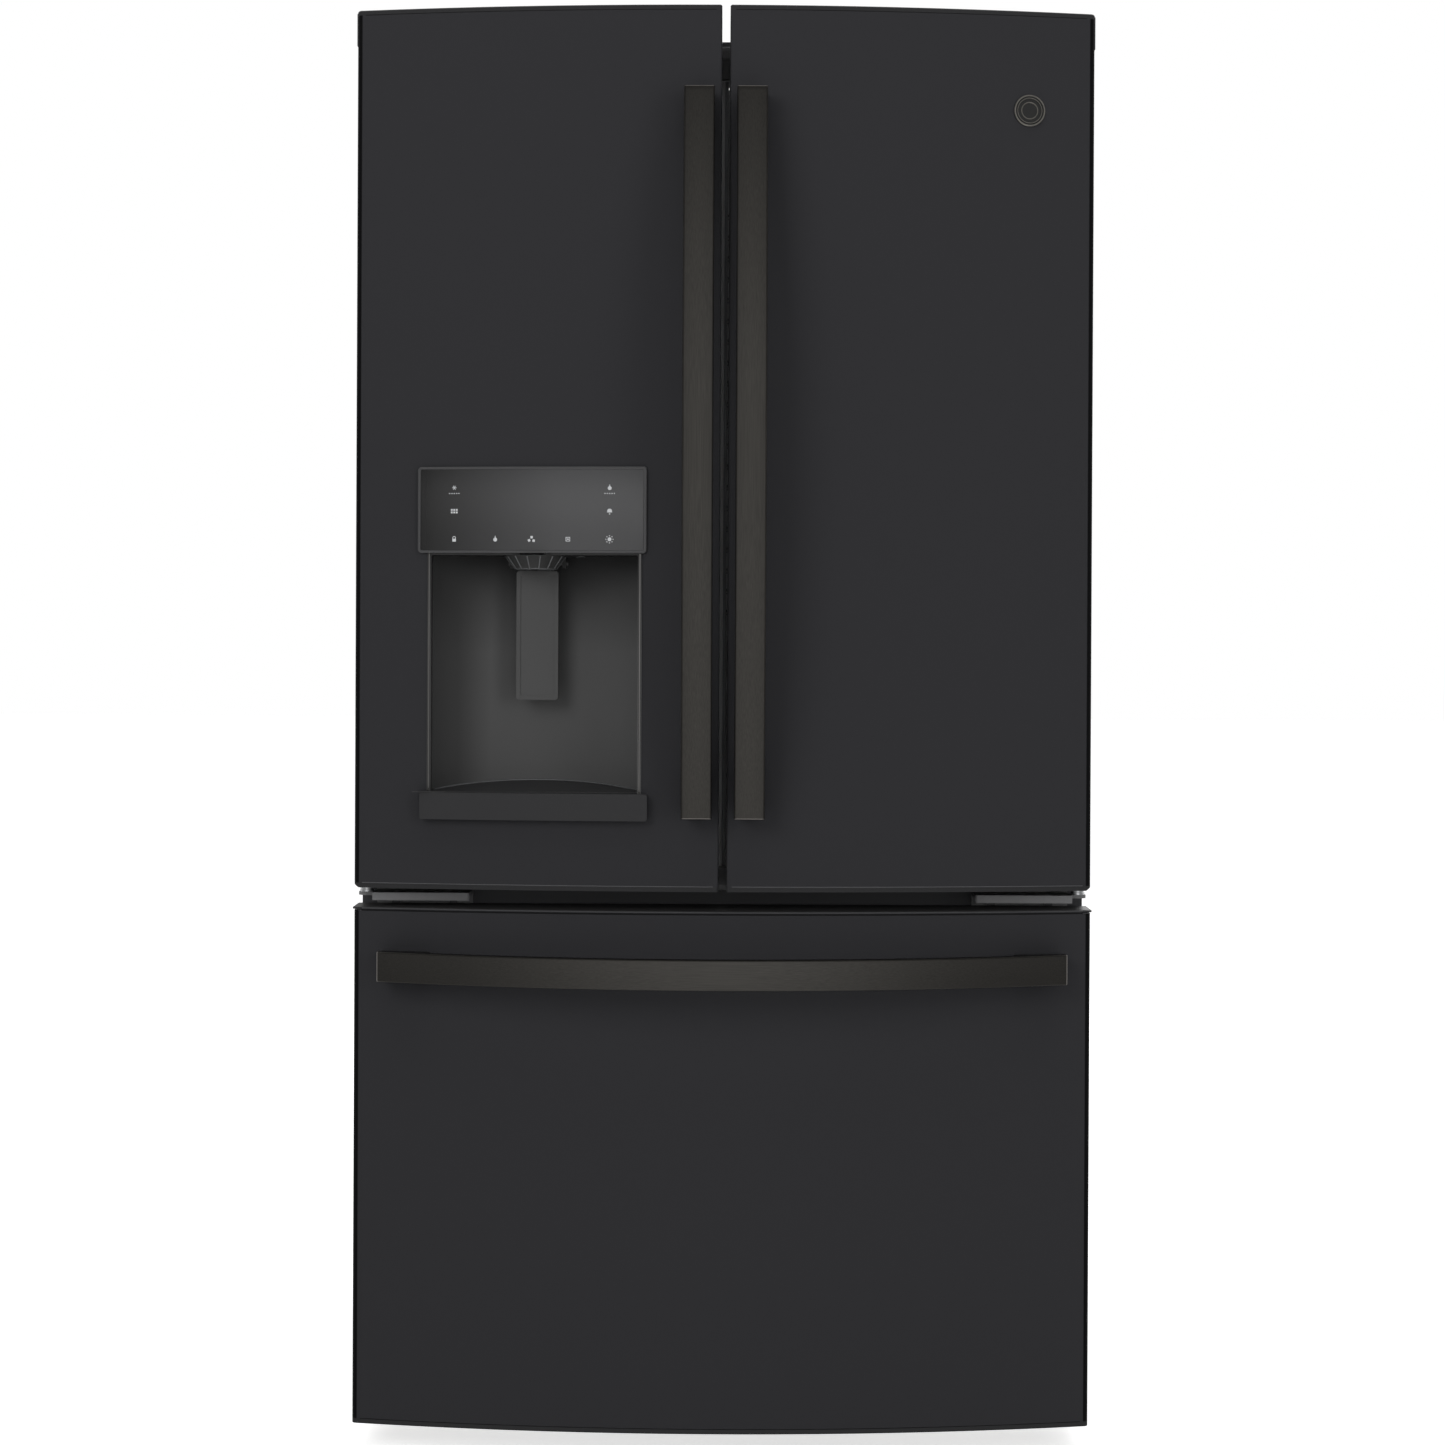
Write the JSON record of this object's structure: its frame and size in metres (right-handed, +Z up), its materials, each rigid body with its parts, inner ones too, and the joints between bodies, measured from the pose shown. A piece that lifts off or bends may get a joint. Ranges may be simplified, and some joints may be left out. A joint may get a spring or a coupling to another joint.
{
  "type": "french door refrigerator",
  "caption": "Free-standing refrigerator with two upper doors, a bowed front, a pull-out freezer drawer and a water and ice dispenser.",
  "frame": {"origin": "on the floor, in the middle of the width and of the depth with handles", "axes": "+Z up, doors and handles face -Y, +X to the right of somebody facing the appliance"},
  "size_m": [0.912, 0.9209, 1.775],
  "materials": {
    "slate_paint": "fine matte slate finish",
    "case_paint": "textured dark grey paint",
    "insulation": "rigid foam",
    "liner_white": "satin vacuum-formed liner",
    "zinc_sheet": "galvanised sheet",
    "black_plastic": "moulded, fine grain",
    "nylon": "nylon roller",
    "zinc_steel": "bright zinc plating",
    "compressor_black": "gloss black paint",
    "copper_steel": "painted steel tube and fins",
    "brass_valve": "white moulded valve body",
    "hinge_grey": "grey painted steel",
    "core_white": "moulded door inside",
    "cap_plastic": "moulded dark end caps",
    "gasket_grey": "soft vinyl gasket",
    "clear_plastic": "clear moulded bins",
    "dispenser_plastic": "satin dark grey moulding",
    "panel_gloss": "glossy smoked panel",
    "bronze_steel": "brushed dark bronze",
    "badge_metal": "spun dark metal",
    "ice_white": "white moulded ice box",
    "shelf_border": "white moulded border",
    "shelf_glass": "tempered shelf glass",
    "rail_steel": "zinc plated slides",
    "wire_white": "white coated wire"
  },
  "bodies": {
    "cabinet": {"cabinet_shell": "case_paint", "cabinet_foam": "insulation", "fridge_liner": "liner_white", "freezer_liner": "liner_white", "back_panel": "zinc_sheet", "base_pan": "zinc_steel", "base_grille": "black_plastic", "compressor": "compressor_black", "condenser": "copper_steel", "fan_mount": "zinc_steel", "machine_cover": "zinc_sheet", "water_valve": "brass_valve", "cord_gland": "black_plastic", "door_hinges": "hinge_grey", "hinge_hardware": "zinc_steel", "hinge_covers": "cap_plastic", "shelf_tracks": "rail_steel", "shelf_frames": "shelf_border", "shelf_glass": "shelf_glass", "air_tower": "liner_white", "rails_fixed": "rail_steel"},
    "left_door": {"left_door_skin": "slate_paint", "left_door_core": "core_white", "left_door_caps": "cap_plastic", "left_door_gasket": "gasket_grey", "left_door_bins": "clear_plastic", "dispenser_housing": "dispenser_plastic", "control_panel": "panel_gloss", "left_handle": "bronze_steel", "ice_box": "ice_white", "ice_bucket": "clear_plastic"},
    "right_door": {"right_door_skin": "slate_paint", "right_door_core": "core_white", "right_door_caps": "cap_plastic", "right_door_gasket": "gasket_grey", "right_door_bins": "clear_plastic", "right_handle": "bronze_steel", "badge": "badge_metal"},
    "mullion": {"mullion": "black_plastic"},
    "ice_box_lid": {"ice_box_lid": "ice_white"},
    "dispenser_paddle": {"dispenser_paddle": "dispenser_plastic"},
    "drip_tray": {"drip_tray": "dispenser_plastic"},
    "freezer_drawer": {"drawer_skin": "slate_paint", "drawer_core": "core_white", "drawer_caps": "cap_plastic", "drawer_gasket": "gasket_grey", "drawer_handle": "bronze_steel", "rails_moving": "rail_steel", "freezer_bin": "clear_plastic"},
    "rails_middle": {"rails_middle": "rail_steel"},
    "freezer_basket": {"freezer_basket": "wire_white"},
    "crisper_left": {"crisper_left": "clear_plastic"},
    "crisper_right": {"crisper_right": "clear_plastic"},
    "front_roller_left": {"front_roller_left": "nylon"},
    "front_roller_right": {"front_roller_right": "nylon"},
    "rear_roller_left": {"rear_roller_left": "nylon"},
    "rear_roller_right": {"rear_roller_right": "nylon"},
    "levelling_leg_left": {"levelling_leg_left": "zinc_steel"},
    "levelling_leg_right": {"levelling_leg_right": "zinc_steel"},
    "condenser_fan": {"condenser_fan": "black_plastic"}
  },
  "joints": [
    {"name": "left_door_hinge", "type": "hinge", "parent": "cabinet", "child": "left_door", "pos_m": [-0.442, -0.3175, 1.2], "axis": [0, 0, -1], "range_deg": [0, 120]},
    {"name": "right_door_hinge", "type": "hinge", "parent": "cabinet", "child": "right_door", "pos_m": [0.442, -0.3175, 1.2], "axis": [0, 0, 1], "range_deg": [0, 120]},
    {"name": "mullion_fold", "type": "hinge", "parent": "left_door", "child": "mullion", "pos_m": [-0.046, -0.276, 1.2], "axis": [0, 0, 1], "range_deg": [0, 85]},
    {"name": "ice_lid_hinge", "type": "hinge", "parent": "left_door", "child": "ice_box_lid", "pos_m": [-0.375, -0.1453, 1.49], "axis": [0, 0, 1], "range_deg": [0, 95]},
    {"name": "paddle_push", "type": "hinge", "parent": "left_door", "child": "dispenser_paddle", "pos_m": [-0.2315, -0.305, 1.097], "axis": [1, 0, 0], "range_deg": [0, 7], "stiffness_Nm_per_rad": 1.5},
    {"name": "drip_tray_slide", "type": "slide", "parent": "left_door", "child": "drip_tray", "axis": [0, -1, 0], "range_m": [0, 0.07]},
    {"name": "freezer_slide", "type": "slide", "parent": "cabinet", "child": "freezer_drawer", "axis": [0, -1, 0], "range_m": [0, 0.42]},
    {"name": "middle_rail_slide", "type": "slide", "parent": "cabinet", "child": "rails_middle", "axis": [0, -1, 0], "range_m": [0, 0.21]},
    {"name": "basket_slide", "type": "slide", "parent": "cabinet", "child": "freezer_basket", "axis": [0, -1, 0], "range_m": [0, 0.252]},
    {"name": "crisper_left_slide", "type": "slide", "parent": "cabinet", "child": "crisper_left", "axis": [0, -1, 0], "range_m": [0, 0.125]},
    {"name": "crisper_right_slide", "type": "slide", "parent": "cabinet", "child": "crisper_right", "axis": [0, -1, 0], "range_m": [0, 0.125]},
    {"name": "front_roller_left_spin", "type": "hinge", "parent": "cabinet", "child": "front_roller_left", "pos_m": [-0.38, -0.15, 0.025], "axis": [1, 0, 0], "continuous": true},
    {"name": "front_roller_right_spin", "type": "hinge", "parent": "cabinet", "child": "front_roller_right", "pos_m": [0.38, -0.15, 0.025], "axis": [1, 0, 0], "continuous": true},
    {"name": "rear_roller_left_spin", "type": "hinge", "parent": "cabinet", "child": "rear_roller_left", "pos_m": [-0.38, 0.4, 0.025], "axis": [1, 0, 0], "continuous": true},
    {"name": "rear_roller_right_spin", "type": "hinge", "parent": "cabinet", "child": "rear_roller_right", "pos_m": [0.38, 0.4, 0.025], "axis": [1, 0, 0], "continuous": true},
    {"name": "levelling_leg_left_turn", "type": "hinge", "parent": "cabinet", "child": "levelling_leg_left", "pos_m": [-0.415, -0.2, 0.02], "axis": [0, 0, 1], "continuous": true},
    {"name": "levelling_leg_right_turn", "type": "hinge", "parent": "cabinet", "child": "levelling_leg_right", "pos_m": [0.415, -0.2, 0.02], "axis": [0, 0, 1], "continuous": true},
    {"name": "condenser_fan_spin", "type": "hinge", "parent": "cabinet", "child": "condenser_fan", "pos_m": [0.04, 0.35925, 0.15], "axis": [1, 0, 0], "continuous": true}
  ],
  "couplings": [
    {"joint": "middle_rail_slide", "follows": "freezer_slide", "ratio": 0.5},
    {"joint": "basket_slide", "follows": "freezer_slide", "ratio": 0.6}
  ]
}
